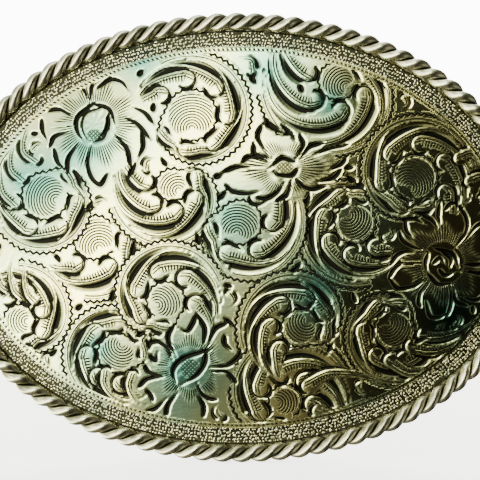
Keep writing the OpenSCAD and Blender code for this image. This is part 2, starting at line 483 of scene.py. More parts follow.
# Single leaves that fill the gaps beside the border, from tail to head, with the head's
# half width and the side of their wedge cut.
leaves = (
    (((-30.5, 20.5), (-33.2, 17.0), (-33.6, 13.8), (-31.9, 12.4)), 0.95, -1),
    (((-32.5, 18.5), (-35.4, 14.5), (-35.6, 11.0), (-34.0, 9.5)), 0.95, -1),
    (((-34.6, 15.5), (-37.4, 11.5), (-37.0, 7.5), (-35.0, 5.5)), 0.95, -1),
    (((-36.0, -0.4), (-38.0, -4.0), (-37.4, -7.2), (-35.9, -8.3)), 0.8, -1),
    (((-34.8, -1.5), (-35.8, -5.0), (-35.2, -8.0), (-34.0, -9.2)), 0.75, -1),
    (((-33.0, -2.5), (-33.6, -6.0), (-33.0, -8.6), (-32.0, -9.7)), 0.75, -1),
    (((-25.5, -24.0), (-29.5, -23.0), (-32.6, -20.5), (-33.0, -18.0)), 0.9, 1),
    (((-25.5, -23.3), (-28.2, -22.0), (-29.8, -20.6), (-30.0, -19.0)), 0.7, 1),
    (((-17.0, -25.8), (-19.6, -24.8), (-20.9, -22.8), (-20.7, -21.1)), 0.8, 1),
    (((-14.5, -26.0), (-16.4, -25.0), (-17.0, -23.0), (-16.5, -21.6)), 0.8, 1),
    (((31.0, 19.5), (28.0, 22.5), (25.5, 24.4), (23.4, 24.2)), 0.9, -1),
    (((38.6, -10.8), (36.0, -13.8), (32.2, -15.2), (28.9, -15.2)), 1.1, 1),
    (((38.4, -11.8), (34.5, -16.2), (30.5, -17.6), (27.0, -17.0)), 1.1, 1),
    (((36.5, -15.0), (32.0, -19.6), (27.0, -21.0), (23.6, -19.2)), 1.1, 1),
    (((39.8, 6.0), (39.2, 10.0), (36.6, 13.0), (34.6, 12.4)), 1.0, -1),
    (((40.2, 3.5), (40.0, 7.0), (38.0, 9.4), (36.2, 8.8)), 0.9, -1),
    (((23.9, -23.5), (19.0, -21.5), (14.0, -21.3), (10.8, -23.0)), 1.1, -1),
    (((23.5, -24.5), (19.0, -25.5), (15.0, -27.2), (12.4, -27.0)), 1.0, 1),
)
for points, head, outer in leaves:
    leaf(smooth_path(points), head, outer, wedge=0.80)

# The four flowers: middle, half sizes of the polished disc, fine lines, radius of the seed
# head and petals; then every tapering cut that draws them.
flowers = (
    (-22.4, 17.6, 8.2, 8.2, 76, 3.3, 10),
    (6.9, 10.7, 8.2, 5.0, 64, 2.3, 6),
    (-7.7, -20.1, 6.8, 6.6, 72, 3.0, 8),
    (31.7, -4.0, 8.2, 7.8, 72, 3.1, 8),
)
for row in flowers:
    petals(*row)

flower_cuts = (
    # seed heads: domed oval, hatched oval, almond and swirl
    ((-22.9, 20.7), (-25.2, 18.6), (-25.2, 16.5), (-24.3, 15.1)),
    ((-22.4, 20.7), (-20.2, 19.9), (-19.3, 17.6)),
    ((-20.3, 18.7), (-20.5, 16.9), (-21.6, 15.5)),
    ((8.3, 11.7), (6.6, 12.1), (5.0, 10.9)),
    ((8.9, 10.3), (8.0, 9.5), (6.2, 9.6), (5.6, 10.0)),
    ((-5.1, -17.5), (-8.6, -18.7), (-10.2, -20.6), (-9.8, -22.8)),
    ((-5.1, -17.5), (-5.3, -19.4), (-6.5, -21.3), (-8.4, -22.5)),
    ((30.8, -1.8), (33.4, -2.6), (34.2, -4.7)),
    ((29.6, -5.9), (31.0, -7.3), (32.9, -7.2)),
    ((31.7, -2.3), (33.0, -3.3), (32.8, -4.7)),
    ((30.2, -4.0), (31.2, -3.2), (31.9, -4.0)),
    ((31.2, -5.1), (32.1, -5.9), (33.4, -5.5)),
    ((29.3, -2.6), (28.9, -4.0), (29.2, -5.4)),
    # upper left flower, with a domed seed head
    ((-28.8, 21.4), (-28.1, 22.4), (-26.9, 22.6)),
    ((-30.2, 19.8), (-28.1, 20.0), (-26.1, 18.9)),
    ((-30.9, 18.3), (-30.8, 16.7), (-30.1, 15.3)),
    ((-29.5, 14.3), (-28.8, 15.7), (-26.9, 16.4)),
    ((-28.8, 13.6), (-28.3, 11.7), (-27.4, 10.9)),
    ((-26.7, 10.2), (-26.6, 12.2), (-25.4, 14.1)),
    ((-25.6, 10.3), (-24.8, 9.3), (-24.0, 8.6)),
    ((-20.5, 9.6), (-21.5, 8.2), (-22.9, 9.3), (-23.5, 11.7), (-22.9, 14.3)),
    ((-16.8, 11.2), (-17.4, 13.8), (-19.4, 16.1)),
    ((-16.2, 11.0), (-17.2, 9.1)),
    ((-15.0, 16.0), (-14.8, 14.1), (-15.5, 12.4)),
    ((-14.1, 15.6), (-15.8, 17.6), (-17.9, 18.6)),
    ((-13.5, 17.9), (-14.6, 19.3), (-16.5, 20.2)),
    ((-21.5, 24.8), (-22.8, 24.0), (-23.3, 21.4)),
    ((-21.9, 23.4), (-20.1, 24.6), (-18.3, 24.2), (-17.3, 22.9)),
    ((-25.8, 23.6), (-24.5, 23.3), (-23.7, 21.9)),
    ((-20.7, 26.1), (-20.0, 24.9)),
    ((-20.1, 26.0), (-16.5, 27.6)),
    # upper middle flower
    ((3.4, 17.0), (2.9, 15.5), (4.0, 13.4)),
    ((2.3, 14.2), (2.5, 12.9), (4.8, 12.2)),
    ((0.6, 11.6), (1.3, 12.3), (2.9, 12.3), (4.7, 11.5)),
    ((-2.2, 10.1), (-0.4, 10.8), (1.7, 10.9)),
    ((-1.9, 7.9), (-0.8, 7.0), (1.1, 6.7), (2.9, 7.0)),
    ((3.0, 6.0), (4.4, 6.0), (5.9, 7.0), (6.7, 8.0)),
    ((6.0, 5.7), (7.3, 6.5), (8.0, 8.6)),
    ((13.0, 7.8), (11.2, 7.4), (9.7, 8.0), (8.7, 9.2)),
    ((15.6, 10.3), (14.4, 9.1), (12.4, 8.6)),
    ((16.4, 12.1), (15.6, 11.2), (14.3, 10.5)),
    ((16.4, 14.3), (14.4, 13.9), (12.3, 13.0)),
    ((12.6, 14.5), (10.8, 13.9), (9.8, 12.6)),
    ((9.5, 15.6), (9.9, 14.3), (8.9, 12.4)),
    ((6.8, 17.1), (7.9, 16.1), (8.6, 15.0)),
    ((4.1, 17.4), (5.5, 16.7), (6.9, 16.0)),
    # lower flower
    ((-6.3, -12.1), (-5.2, -14.1), (-5.5, -16.6)),
    ((-6.7, -12.2), (-7.1, -13.3), (-8.0, -14.5), (-9.3, -14.0)),
    ((-10.2, -13.9), (-10.9, -15.1), (-10.7, -16.6), (-9.9, -18.1)),
    ((-14.0, -16.7), (-13.4, -16.2), (-12.4, -16.2), (-11.0, -17.3), (-10.4, -18.7)),
    ((-13.7, -18.3), (-13.0, -19.1), (-12.7, -18.1)),
    ((-14.6, -19.9), (-13.8, -21.0), (-12.1, -21.4)),
    ((-15.4, -23.1), (-14.3, -22.0), (-12.1, -21.6)),
    ((-14.3, -23.8), (-13.6, -24.7), (-13.4, -25.5)),
    ((-14.2, -27.0), (-13.0, -26.6), (-11.7, -25.4)),
    ((-11.3, -27.6), (-11.0, -26.0), (-9.8, -24.4)),
    ((-5.5, -27.6), (-5.5, -26.0), (-6.4, -24.4)),
    ((-3.6, -25.1), (-4.7, -25.0), (-5.8, -24.2), (-6.4, -22.8)),
    ((-0.5, -22.5), (-0.9, -21.8), (-2.0, -20.8), (-3.6, -20.7)),
    ((0.2, -17.6), (-0.2, -18.6), (-1.8, -19.8), (-3.8, -20.0)),
    ((-2.2, -15.3), (-2.1, -16.4), (-1.0, -17.5)),
    ((-2.1, -13.3), (-3.6, -14.1), (-4.7, -16.3)),
    ((-1.9, -12.7), (-0.5, -13.9)),
    # right flower
    ((31.2, 5.1), (31.0, 3.4), (31.3, 2.2)),
    ((32.1, 4.4), (33.0, 5.3), (34.3, 5.3)),
    ((34.4, 5.1), (35.6, 2.8), (35.4, 0.8), (33.9, -1.2)),
    ((25.7, 2.6), (26.0, 1.0), (26.9, 0.0)),
    ((25.5, 2.7), (27.0, 2.9), (28.6, 2.2)),
    ((24.8, 0.8), (25.4, -0.5), (27.0, -1.5), (28.6, -1.9)),
    ((28.6, 3.4), (30.0, 2.7), (31.0, 1.3)),
    ((23.5, -4.1), (24.4, -2.8), (25.9, -2.2), (27.5, -2.4)),
    ((23.4, -6.6), (24.7, -7.9), (27.0, -7.6), (28.8, -6.7)),
    ((23.2, -6.2), (24.0, -4.9), (25.1, -4.2)),
    ((28.2, -10.8), (27.9, -10.0), (28.2, -8.5), (29.4, -7.0)),
    ((32.6, -12.0), (33.1, -10.2), (32.9, -7.9)),
    ((29.1, -10.2), (29.8, -12.3), (31.2, -12.5), (32.4, -11.9)),
    ((35.6, -10.7), (34.0, -10.0), (33.5, -8.2)),
    ((39.4, -8.3), (37.3, -9.8), (35.2, -9.4)),
    ((39.8, -3.2), (37.3, -4.3), (35.0, -4.2)),
    ((39.6, -5.8), (37.3, -5.6), (35.4, -5.3)),
    ((39.4, 2.4), (37.3, 1.9), (35.7, 0.1)),
)
flower_cut_width = 0.74
for points in flower_cuts:
    graver_cut(points, flower_cut_width)

# The thin oval line round the domed seed head.
thin_cut_width = 0.42
graver_cut(((-21.7, 20.1), (-23.9, 19.3), (-24.5, 17.3), (-23.7, 15.4), (-22.4, 14.9)), thin_cut_width)
graver_cut(((-22.4, 14.9), (-21.0, 15.5), (-20.4, 17.0)), thin_cut_width)

# Cross-hatching on the hatched oval and the almond, and on the shaded side of the dome.
hatch_pitch = 0.62
for x, z, reach_x, reach_z in ((7.0, 10.8, 1.5, 0.95), (-7.6, -20.2, 1.7, 1.7), (-22.5, 16.0, 1.3, 0.9)):
    at, xs, zs = window((x - 3, z - 3), (x + 3, z + 3))
    share = np.hypot((xs - x) / reach_x, (zs - z) / reach_z)
    shade(at, "line", (xs + zs) / hatch_pitch, 0.9 * (1 - ramp(share, 0.8, 1.05)))
    shade(at, "tick", (xs - zs) / hatch_pitch, 0.9 * (1 - ramp(share, 0.8, 1.05)))

# Small drop-shaped cuts in the corners between the scrolls: x, z, bearing, length.
drops = (
    (-19.6, -9.0, 80, 1.6), (-15.1, -14.9, 30, 1.4), (-11.6, 11.7, 120, 1.2), (-23.4, 4.6, 60, 1.4),
    (-6.3, -0.2, 100, 1.6), (-2.5, 6.5, 45, 1.4), (7.5, 16.0, 200, 1.2), (17.2, 9.1, 150, 1.6),
    (10.6, 6.0, 75, 1.5), (8.9, -4.7, 45, 1.5), (14.1, -17.0, 60, 1.3), (17.7, -9.2, 110, 1.5),
    (-29.0, -18.0, 40, 1.3), (-29.3, -21.0, 130, 1.3), (5.0, 17.4, 140, 2.6), (28.4, -16.0, 20, 2.0),
)
drop_width = 0.8
for x, z, bearing, length in drops:
    dx = 0.5 * length * math.cos(math.radians(bearing))
    dz = 0.5 * length * math.sin(math.radians(bearing))
    graver_cut(((x - dx, z - dz), (x, z), (x + dx, z + dz)), drop_width)

# Small leaves, and drop-shaped cuts where there is less room, grow into the plain gaps that
# are left: each lies along the turn of its nearest scroll. The rim field is how far a point
# lies inside the oval's edge.
oval = 1 - (grid_x / face_half_x) ** 2 - (grid_z / face_half_z) ** 2
oval_fall = 2 * np.hypot(grid_x / face_half_x**2, grid_z / face_half_z**2)
rim = np.minimum(oval / np.maximum(oval_fall, 1e-4), 20.0)


def plain_gaps(smallest, largest):
    """Middles and clear radii of the gaps left on the face, the widest first."""
    busy = (plate["cut"] > -0.40) | (rim < band_width + 0.9) | (plate["height"] > polish + 0.008)
    for kind in ("line", "tick", "wriggle"):
        busy |= plate[kind + "_amount"] > 0.05
    for x, z, reach_x, reach_z, *_ in flowers:
        busy |= np.hypot((grid_x - x) / reach_x, (grid_z - z) / reach_z) < 1.04
    for x, z, eye, *_ in scrolls:
        busy |= np.hypot(grid_x - x, grid_z - z) < eye
    coarse = (slice(None, None, 3), slice(None, None, 3))
    taken = np.stack([grid_x[coarse][busy[coarse]], grid_z[coarse][busy[coarse]]], 1)
    free = np.stack([grid_x[coarse][~busy[coarse]], grid_z[coarse][~busy[coarse]]], 1)
    room = np.array([np.min(np.hypot(*(taken - spot).T)) for spot in free])
    while room.max() > smallest:
        found = int(room.argmax())
        radius = min(room[found], largest)
        yield free[found], radius
        room = np.minimum(room, np.hypot(*(free - free[found]).T) - 0.95 * radius)


smallest_leaf = 1.05
for middle, radius in plain_gaps(smallest=0.84, largest=2.8):
    near = min(scrolls, key=lambda row: math.hypot(row[0] - middle[0], row[1] - middle[1]) - row[2])
    outward = middle - np.array(near[:2])
    outward /= np.linalg.norm(outward)
    forward = near[3] * np.array([-outward[1], outward[0]])
    if radius > smallest_leaf:
        tail = middle - 0.98 * radius * forward - 0.30 * radius * outward
        back = middle + 0.22 * radius * outward - 0.1 * radius * forward
        tip = middle + 0.50 * radius * forward - 0.20 * radius * outward
        leaf(smooth_path((tail, back, tip)), 0.42 * radius, -near[3], wedge=0.34 * radius)
    else:
        graver_cut((middle - 0.6 * radius * forward, middle, middle + 0.5 * radius * forward), 0.9 * radius)

# Cool tarnish has settled in a few broad patches: x, z and how far each spreads.
for x, z, spread in (
    (-23.5, 14.0, 8.0), (-1.5, 3.5, 7.0), (4.0, 26.0, 7.0), (-9.0, -20.0, 7.5), (-33.0, 8.5, 6.0),
    (12.0, -8.0, 7.0), (-15.0, 27.5, 5.0), (33.0, -12.0, 7.0), (14.0, 21.0, 5.0), (-22.0, -17.0, 4.0),
):
    plate["stain"] += np.exp(-((grid_x - x) ** 2 + (grid_z - z) ** 2) / (0.8 * spread**2))
plate["stain"] = np.minimum(plate["stain"], 1.0)

# Oval border: a sunk band of stippling, with a row of short ticks along its inner edge.
everywhere = (slice(None), slice(None))
clear(everywhere, band_width + 0.70 - rim)
groove(everywhere, np.minimum(band_width - 0.25 - rim, rim + 0.5), np.full(rim.shape, 0.56), 0.09)
turning = np.linspace(-math.pi, math.pi, 2881)
arc = np.hypot(face_half_x * np.diff(np.cos(turning)), face_half_z * np.diff(np.sin(turning)))
around = np.interp(
    np.arctan2(grid_z / face_half_z, grid_x / face_half_x), turning, np.concatenate([[0], np.cumsum(arc)])
)
edge_tick_pitch = 0.76
tick_row = ramp(rim, band_width - 0.15, band_width + 0.05)
tick_row *= 1 - ramp(rim, band_width + 0.45, band_width + 0.62)
shade(everywhere, "tick", around / edge_tick_pitch + rim * 0.55, tick_row * (plate["cut"] < 0))

# The grid becomes the plate's front; cells across the oval's edge are drawn in to it.
edge_share = np.hypot(grid_x / face_half_x, grid_z / face_half_z)
held = edge_share < 1 - 0.35 * cell / face_half_z
pull = np.where(held, 1.0, 1.0 / np.maximum(edge_share, 1e-6))
face_x = grid_x * pull
face_z = grid_z * pull
out = face_radius + plate["height"] * ramp(rim, 0.0, 0.5)
lift = np.sqrt(np.maximum(face_radius**2 - face_x**2 - face_z**2, 0))
from_middle = np.stack([face_x, -lift, face_z], -1)
front = from_middle * (out / face_radius)[..., None] + np.array([0, dome_radius, 0])
used = held[:-1, :-1] | held[1:, :-1] | held[:-1, 1:] | held[1:, 1:]
number = np.arange(grid_x.size).reshape(grid_x.shape)
quads = np.stack([number[:-1, :-1], number[:-1, 1:], number[1:, 1:], number[1:, :-1]], -1)[used]
kept = np.unique(quads)
renumber = np.full(grid_x.size, -1)
renumber[kept] = np.arange(len(kept))
quads = renumber[quads]
points = front.reshape(-1, 3)[kept]
edges = np.concatenate([quads[:, [i, (i + 1) % 4]] for i in range(4)])
open_edges = {}
for a, b in edges.tolist():
    if (b, a) in open_edges:
        del open_edges[(b, a)]
    else:
        open_edges[(a, b)] = True
following = {a: b for a, b in open_edges}
loop = [next(iter(following))]
while following[loop[-1]] != loop[0]:
    loop.append(following[loop[-1]])
# A side wall and a smooth back close the sheet: rings of the rim, drawn in toward the middle.
back_rings = (1.0, 0.82, 0.60, 0.36, 0.14, 0.02)
rim_points = points[loop]
rings = [points]
faces = quads.tolist()
before = loop
for shrink in back_rings:
    ring_x = rim_points[:, 0] * shrink
    ring_z = rim_points[:, 2] * shrink
    ring_y = dome_radius - np.sqrt(face_back_radius**2 - ring_x**2 - ring_z**2)
    first = sum(len(r) for r in rings)
    rings.append(np.stack([ring_x, ring_y, ring_z], 1))
    ring = list(range(first, first + len(loop)))
    for i in range(len(loop)):
        j = (i + 1) % len(loop)
        faces.append((before[j], before[i], ring[i], ring[j]))
    before = ring
faces.append(tuple(reversed(before)))
all_points = np.concatenate(rings)

engraved_face_mesh = bpy.data.meshes.new("engraved_face")
engraved_face_mesh.from_pydata((all_points * mm).tolist(), [], faces)
engraved_face_mesh.update()
engraved_face_mesh.shade_smooth()
engraved_face = bpy.data.objects.new("engraved_face", engraved_face_mesh)
bpy.context.scene.collection.objects.link(engraved_face)
for name, values in plate.items():
    column = np.zeros(len(all_points), np.float32)
    column[: len(kept)] = values.ravel()[kept]
    if name == "cut":
        column[len(kept) :] = -1.0
    stored = engraved_face_mesh.attributes.new(name, "FLOAT", "POINT")
    stored.data.foreach_set("value", column)


def reading(tree, name):
    """The value of one of the face's own attributes."""
    made = tree.nodes.new("ShaderNodeAttribute")
    made.attribute_name = name
    return made.outputs["Fac"]


def hairlines(tree, kind, share):
    """Dark lines once every turn of the stored phase; share is how much of a turn is dark."""
    wave = sums(tree, "PINGPONG", reading(tree, kind + "_phase"), 0.5)
    line = ramp_node(tree, wave, 0.5 * share + 0.06, 0.5 * share - 0.06)
    return sums(tree, "MULTIPLY", line, reading(tree, kind + "_amount"), clamp=True)


def engraved_silver():
    """Old silver, black in its cuts, with hairlines, ticks and the wriggled outlines."""
    made, tree, shader, age = metal(
        "engraved_silver",
        bright=(0.94, 0.90, 0.43),
        tarnish=(0.50, 0.72, 0.52),
        cloud=75.0,
        amount=0.7,
        gloss=0.105,
        grain=(700.0, 5000.0, 2500.0),
        dent=0.000012,
    )
    black = ramp_node(tree, reading(tree, "cut"), -0.05, 0.05)
    dark_slope = ramp_node(tree, reading(tree, "fade"), 0.05, 0.62, 0.12, 1.0)
    black = sums(tree, "MULTIPLY", black, dark_slope)
    lines = hairlines(tree, "line", 0.56)
    ticks = hairlines(tree, "tick", 0.58)
    half_wave = 0.535
    swing_width = 0.38
    swing = sums(tree, "PINGPONG", reading(tree, "wriggle_along"), half_wave)
    swing = sums(tree, "MULTIPLY_ADD", swing, swing_width / half_wave, -0.5 * swing_width)
    off = sums(tree, "ABSOLUTE", sums(tree, "SUBTRACT", reading(tree, "wriggle_off"), swing))
    wriggle = ramp_node(tree, off, 0.29, 0.20)
    wriggle = sums(tree, "MULTIPLY", wriggle, reading(tree, "wriggle_amount"))
    fine = sums(tree, "MAXIMUM", lines, ticks)
    fine = sums(tree, "MAXIMUM", fine, wriggle)
    oxide = sums(tree, "MAXIMUM", black, fine, clamp=True)
    cool_film = (0.115, 0.37, 0.335, 1)
    film = sums(tree, "MULTIPLY", reading(tree, "stain"), 0.95)
    silver = tint(tree, film, age.outputs["Color"], cool_film)
    colour = tint(tree, oxide, silver, black_oxide)
    join(tree, shader.inputs["Base Color"], colour)
    rough = sums(tree, "MULTIPLY_ADD", oxide, 0.35, age.outputs["Roughness"])
    join(tree, shader.inputs["Roughness"], rough)
    bump = next(n for n in tree.nodes if n.type == "BUMP")
    depth = sums(tree, "MULTIPLY_ADD", fine, -0.7, age.outputs["Height"])
    join(tree, bump.inputs["Height"], depth)
    return made


face_silver = engraved_silver()
engraved_face_mesh.materials.append(face_silver)
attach(engraved_face, "buckle")
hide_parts("face_plate")

# ---------------------------------------------------------------- border stipple
# Bright grains left standing between punch marks in the sunk border band: five uneven rows
# right round the oval, in the same silver as the face.
grain_rows = (0.20, 0.74, 1.28, 1.82, 2.32)
grain_sink = 0.10
grain_line_steps = 240


def add_oval(curve, half_x, half_z, radius, steps):
    """Adds a closed oval at a given distance from the dome's middle."""
    spline = curve.splines.new("POLY")
    spline.points.add(steps - 1)
    spline.use_cyclic_u = True
    for i, point in enumerate(spline.points):
        angle = 2 * math.pi * i / steps
        x = half_x * math.cos(angle)
        z = half_z * math.sin(angle)
        y = dome_radius - math.sqrt(radius**2 - x * x - z * z)
        point.co = (x * mm, y * mm, z * mm, 1)


def geometry_tree(name, inputs):
    """An empty geometry tree with a geometry input, the named inputs and a geometry output."""
    tree = bpy.data.node_groups.new(name, "GeometryNodeTree")
    tree.interface.new_socket(name="Path", in_out="INPUT", socket_type="NodeSocketGeometry")
    for label, kind in inputs:
        tree.interface.new_socket(name=label, in_out="INPUT", socket_type=kind)
    tree.interface.new_socket(name="Piece", in_out="OUTPUT", socket_type="NodeSocketGeometry")
    given = tree.nodes.new("NodeGroupInput").outputs
    end = tree.nodes.new("NodeGroupOutput").inputs["Piece"]
    return tree, given, end


def scaled(tree, vector, share):
    """A vector times a number."""
    made = tree.nodes.new("ShaderNodeVectorMath")
    made.operation = "SCALE"
    join(tree, made.inputs[0], vector)
    join(tree, made.inputs["Scale"], share)
    return made.outputs[0]


def grow(name, curve, tree, settings):
    """Runs a geometry tree on a curve and returns the plain mesh it makes."""
    source = bpy.data.objects.new(name + "_path", curve)
    bpy.context.scene.collection.objects.link(source)
    modifier = source.modifiers.new("grow", "NODES")
    modifier.node_group = tree
    for item in tree.interface.items_tree:
        if item.in_out == "INPUT" and item.name in settings:
            modifier[item.identifier] = settings[item.name]
    source.update_tag()
    bpy.context.view_layer.update()
    graph = bpy.context.evaluated_depsgraph_get()
    mesh = bpy.data.meshes.new_from_object(source.evaluated_get(graph), depsgraph=graph)
    bpy.data.objects.remove(source)
    mesh.name = name
    made = bpy.data.objects.new(name, mesh)
    bpy.context.scene.collection.objects.link(made)
    return made


def stipple_tree():
    """Grains at an even spacing along each oval, each nudged, spun and sized at random."""
    tree, given, end = geometry_tree(
        "border_stipple",
        (
            ("Spacing", "NodeSocketFloat"),
            ("Length", "NodeSocketFloat"),
            ("Width", "NodeSocketFloat"),
            ("Rise", "NodeSocketFloat"),
            ("Nudge", "NodeSocketFloat"),
            ("Seed", "NodeSocketInt"),
            ("Dome Middle", "NodeSocketVector"),
            ("Finish", "NodeSocketMaterial"),
        ),
    )
    spots = tree.nodes.new("GeometryNodeCurveToPoints")
    spots.mode = "LENGTH"
    join(tree, spots.inputs["Curve"], given["Path"])
    join(tree, spots.inputs["Length"], given["Spacing"])
    nudge = add(tree, "FunctionNodeRandomValue", data_type="FLOAT_VECTOR")
    join(tree, nudge.inputs[0], (-1.0, -1.0, -1.0))
    join(tree, nudge.inputs[1], (1.0, 1.0, 1.0))
    join(tree, nudge.inputs["Seed"], given["Seed"])
    moved = tree.nodes.new("GeometryNodeSetPosition")
    join(tree, moved.inputs["Geometry"], spots.outputs["Points"])
    place = tree.nodes.new("GeometryNodeInputPosition").outputs[0]
    outward = vectors(tree, "SUBTRACT", place, given["Dome Middle"]).outputs[0]
    outward = vectors(tree, "NORMALIZE", outward).outputs[0]
    shift = scaled(tree, nudge.outputs[0], given["Nudge"])
    drop = vectors(tree, "DOT_PRODUCT", shift, outward).outputs["Value"]
    flat = vectors(tree, "SUBTRACT", shift, scaled(tree, outward, drop)).outputs[0]
    join(tree, moved.inputs["Offset"], flat)
    ball = add(tree, "GeometryNodeMeshUVSphere", Segments=8, Rings=4, Radius=1.0)
    stand = tree.nodes.new("FunctionNodeAlignRotationToVector")
    stand.axis = "Z"
    join(tree, stand.inputs["Vector"], outward)
    spin = add(tree, "FunctionNodeRandomValue", data_type="FLOAT")
    join(tree, spin.inputs[2], 0.0)
    join(tree, spin.inputs[3], 2 * math.pi)
    seed = sums(tree, "ADD", given["Seed"], 7)
    join(tree, spin.inputs["Seed"], seed)
    twist = tree.nodes.new("FunctionNodeAxisAngleToRotation")
    join(tree, twist.inputs["Axis"], (0, 0, 1))
    join(tree, twist.inputs["Angle"], spin.outputs[1])
    turned = tree.nodes.new("FunctionNodeRotateRotation")
    turned.rotation_space = "LOCAL"
    join(tree, turned.inputs[0], stand.outputs[0])
    join(tree, turned.inputs[1], twist.outputs[0])
    size = add(tree, "FunctionNodeRandomValue", data_type="FLOAT")
    join(tree, size.inputs[2], 0.7)
    join(tree, size.inputs[3], 1.25)
    join(tree, size.inputs["Seed"], sums(tree, "ADD", given["Seed"], 13))
    shape = tree.nodes.new("ShaderNodeCombineXYZ")
    for axis, label in zip("XYZ", ("Length", "Width", "Rise")):
        join(tree, shape.inputs[axis], sums(tree, "MULTIPLY", given[label], size.outputs[1]))
    spread = tree.nodes.new("GeometryNodeInstanceOnPoints")
    join(tree, spread.inputs["Points"], moved.outputs[0])
    join(tree, spread.inputs["Instance"], ball.outputs["Mesh"])
    join(tree, spread.inputs["Rotation"], turned.outputs[0])
    join(tree, spread.inputs["Scale"], shape.outputs[0])
    real = tree.nodes.new("GeometryNodeRealizeInstances")
    join(tree, real.inputs[0], spread.outputs[0])
    painted = tree.nodes.new("GeometryNodeSetMaterial")
    join(tree, painted.inputs["Geometry"], real.outputs[0])
    join(tree, painted.inputs["Material"], given["Finish"])
    join(tree, end, painted.outputs[0])
    return tree


grain_silver, *_ = metal(
    "grain_silver",
    bright=(0.74, 0.72, 0.52),
    tarnish=(0.38, 0.42, 0.32),
    cloud=300.0,
    amount=0.8,
    gloss=0.26,
    grain=(2500.0, 2500.0, 2500.0),
    dent=0.000004,
)
stipple_line = bpy.data.curves.new("stipple_line", "CURVE")
stipple_line.dimensions = "3D"
for inset in grain_rows:
    grain_half_x = face_half_x - inset
    grain_half_z = face_half_z - inset
    add_oval(stipple_line, grain_half_x, grain_half_z, face_radius - grain_sink, grain_line_steps)
border_stipple = grow(
    "border_stipple",
    stipple_line,
    stipple_tree(),
    {
        "Spacing": 0.46 * mm,
        "Length": 0.27 * mm,
        "Width": 0.15 * mm,
        "Rise": 0.055 * mm,
        "Nudge": 0.13 * mm,
        "Seed": 5,
        "Dome Middle": dome_middle,
        "Finish": grain_silver,
    },
)
border_stipple.data.shade_smooth()
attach(border_stipple, "buckle")

# ---------------------------------------------------------------- rope edge
# Two round silver wires twisted tightly together, bent round the plate's edge and soldered
# to it; each wire is a ring that closes on itself. The grooves are coloured near black:
# partly black oxide, partly painted shade for the shadow down between the wires.
rope_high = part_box("rope_strand_one")[1]
strand_radius = 0.77
helix_radius = 0.63
rope_turns = 42
rope_lift = 0.7
rope_line_steps = 720
steps_per_turn = 36
wire_sides = 24
rope_half_x = rope_high.x / mm - strand_radius - helix_radius
rope_half_z = rope_high.z / mm - strand_radius - helix_radius
rope_seat = face_radius + rope_lift
rope_oxide_and_shade = (0.012, 0.012, 0.010, 1)


def rope_tree():
    """A wire winding round a closed line: a tube swept along the twisted path."""
    tree, given, end = geometry_tree(
        "rope_wire",
        (
            ("Turns", "NodeSocketFloat"),
            ("Phase", "NodeSocketFloat"),
            ("Helix Radius", "NodeSocketFloat"),
            ("Wire Radius", "NodeSocketFloat"),
            ("Steps", "NodeSocketInt"),
            ("Sides", "NodeSocketInt"),
            ("Dome Middle", "NodeSocketVector"),
            ("Finish", "NodeSocketMaterial"),
        ),
    )
    even = tree.nodes.new("GeometryNodeResampleCurve")
    join(tree, even.inputs["Curve"], given["Path"])
    join(tree, even.inputs["Count"], given["Steps"])
    place = tree.nodes.new("GeometryNodeInputPosition").outputs[0]
    core = tree.nodes.new("GeometryNodeStoreNamedAttribute")
    core.data_type = "FLOAT_VECTOR"
    core.inputs["Name"].default_value = "core"
    join(tree, core.inputs["Geometry"], even.outputs[0])
    join(tree, core.inputs["Value"], place)
    share = tree.nodes.new("GeometryNodeSplineParameter").outputs["Factor"]
    whole = sums(tree, "MULTIPLY", share, given["Turns"])
    angle = sums(tree, "MULTIPLY_ADD", whole, 2 * math.pi, given["Phase"])
    forward = vectors(tree, "SUBTRACT", place, given["Dome Middle"]).outputs[0]
    forward = vectors(tree, "NORMALIZE", forward).outputs[0]
    along = tree.nodes.new("GeometryNodeInputTangent").outputs[0]
    across = vectors(tree, "CROSS_PRODUCT", along, forward).outputs[0]
    across = vectors(tree, "NORMALIZE", across).outputs[0]
    sideways = scaled(tree, across, sums(tree, "COSINE", angle))
    front_way = scaled(tree, forward, sums(tree, "SINE", angle))
    offset = vectors(tree, "ADD", sideways, front_way).outputs[0]
    wound = tree.nodes.new("GeometryNodeSetPosition")
    join(tree, wound.inputs["Geometry"], core.outputs[0])
    join(tree, wound.inputs["Offset"], scaled(tree, offset, given["Helix Radius"]))
    section = tree.nodes.new("GeometryNodeCurvePrimitiveCircle")
    join(tree, section.inputs["Resolution"], given["Sides"])
    join(tree, section.inputs["Radius"], given["Wire Radius"])
    tube = tree.nodes.new("GeometryNodeCurveToMesh")
    join(tree, tube.inputs["Curve"], wound.outputs[0])
    join(tree, tube.inputs["Profile Curve"], section.outputs[0])
    known = tree.nodes.new("GeometryNodeInputNamedAttribute")
    known.data_type = "FLOAT_VECTOR"
    known.inputs["Name"].default_value = "core"
    # proud: how far a point lies from the rope's middle line, as a share of the widest; rope_silver paints
    # shade and oxide where it is low.
    gap = vectors(tree, "DISTANCE", place, known.outputs["Attribute"]).outputs["Value"]
    widest = sums(tree, "ADD", given["Helix Radius"], given["Wire Radius"])
    proud = tree.nodes.new("GeometryNodeStoreNamedAttribute")
    proud.data_type = "FLOAT"
    proud.inputs["Name"].default_value = "proud"
    join(tree, proud.inputs["Geometry"], tube.outputs[0])
    join(tree, proud.inputs["Value"], sums(tree, "DIVIDE", gap, widest))
    real = tree.nodes.new("GeometryNodeRealizeInstances")
    join(tree, real.inputs[0], proud.outputs[0])
    painted = tree.nodes.new("GeometryNodeSetMaterial")
    join(tree, painted.inputs["Geometry"], real.outputs[0])
    join(tree, painted.inputs["Material"], given["Finish"])
    join(tree, end, painted.outputs[0])
    return tree


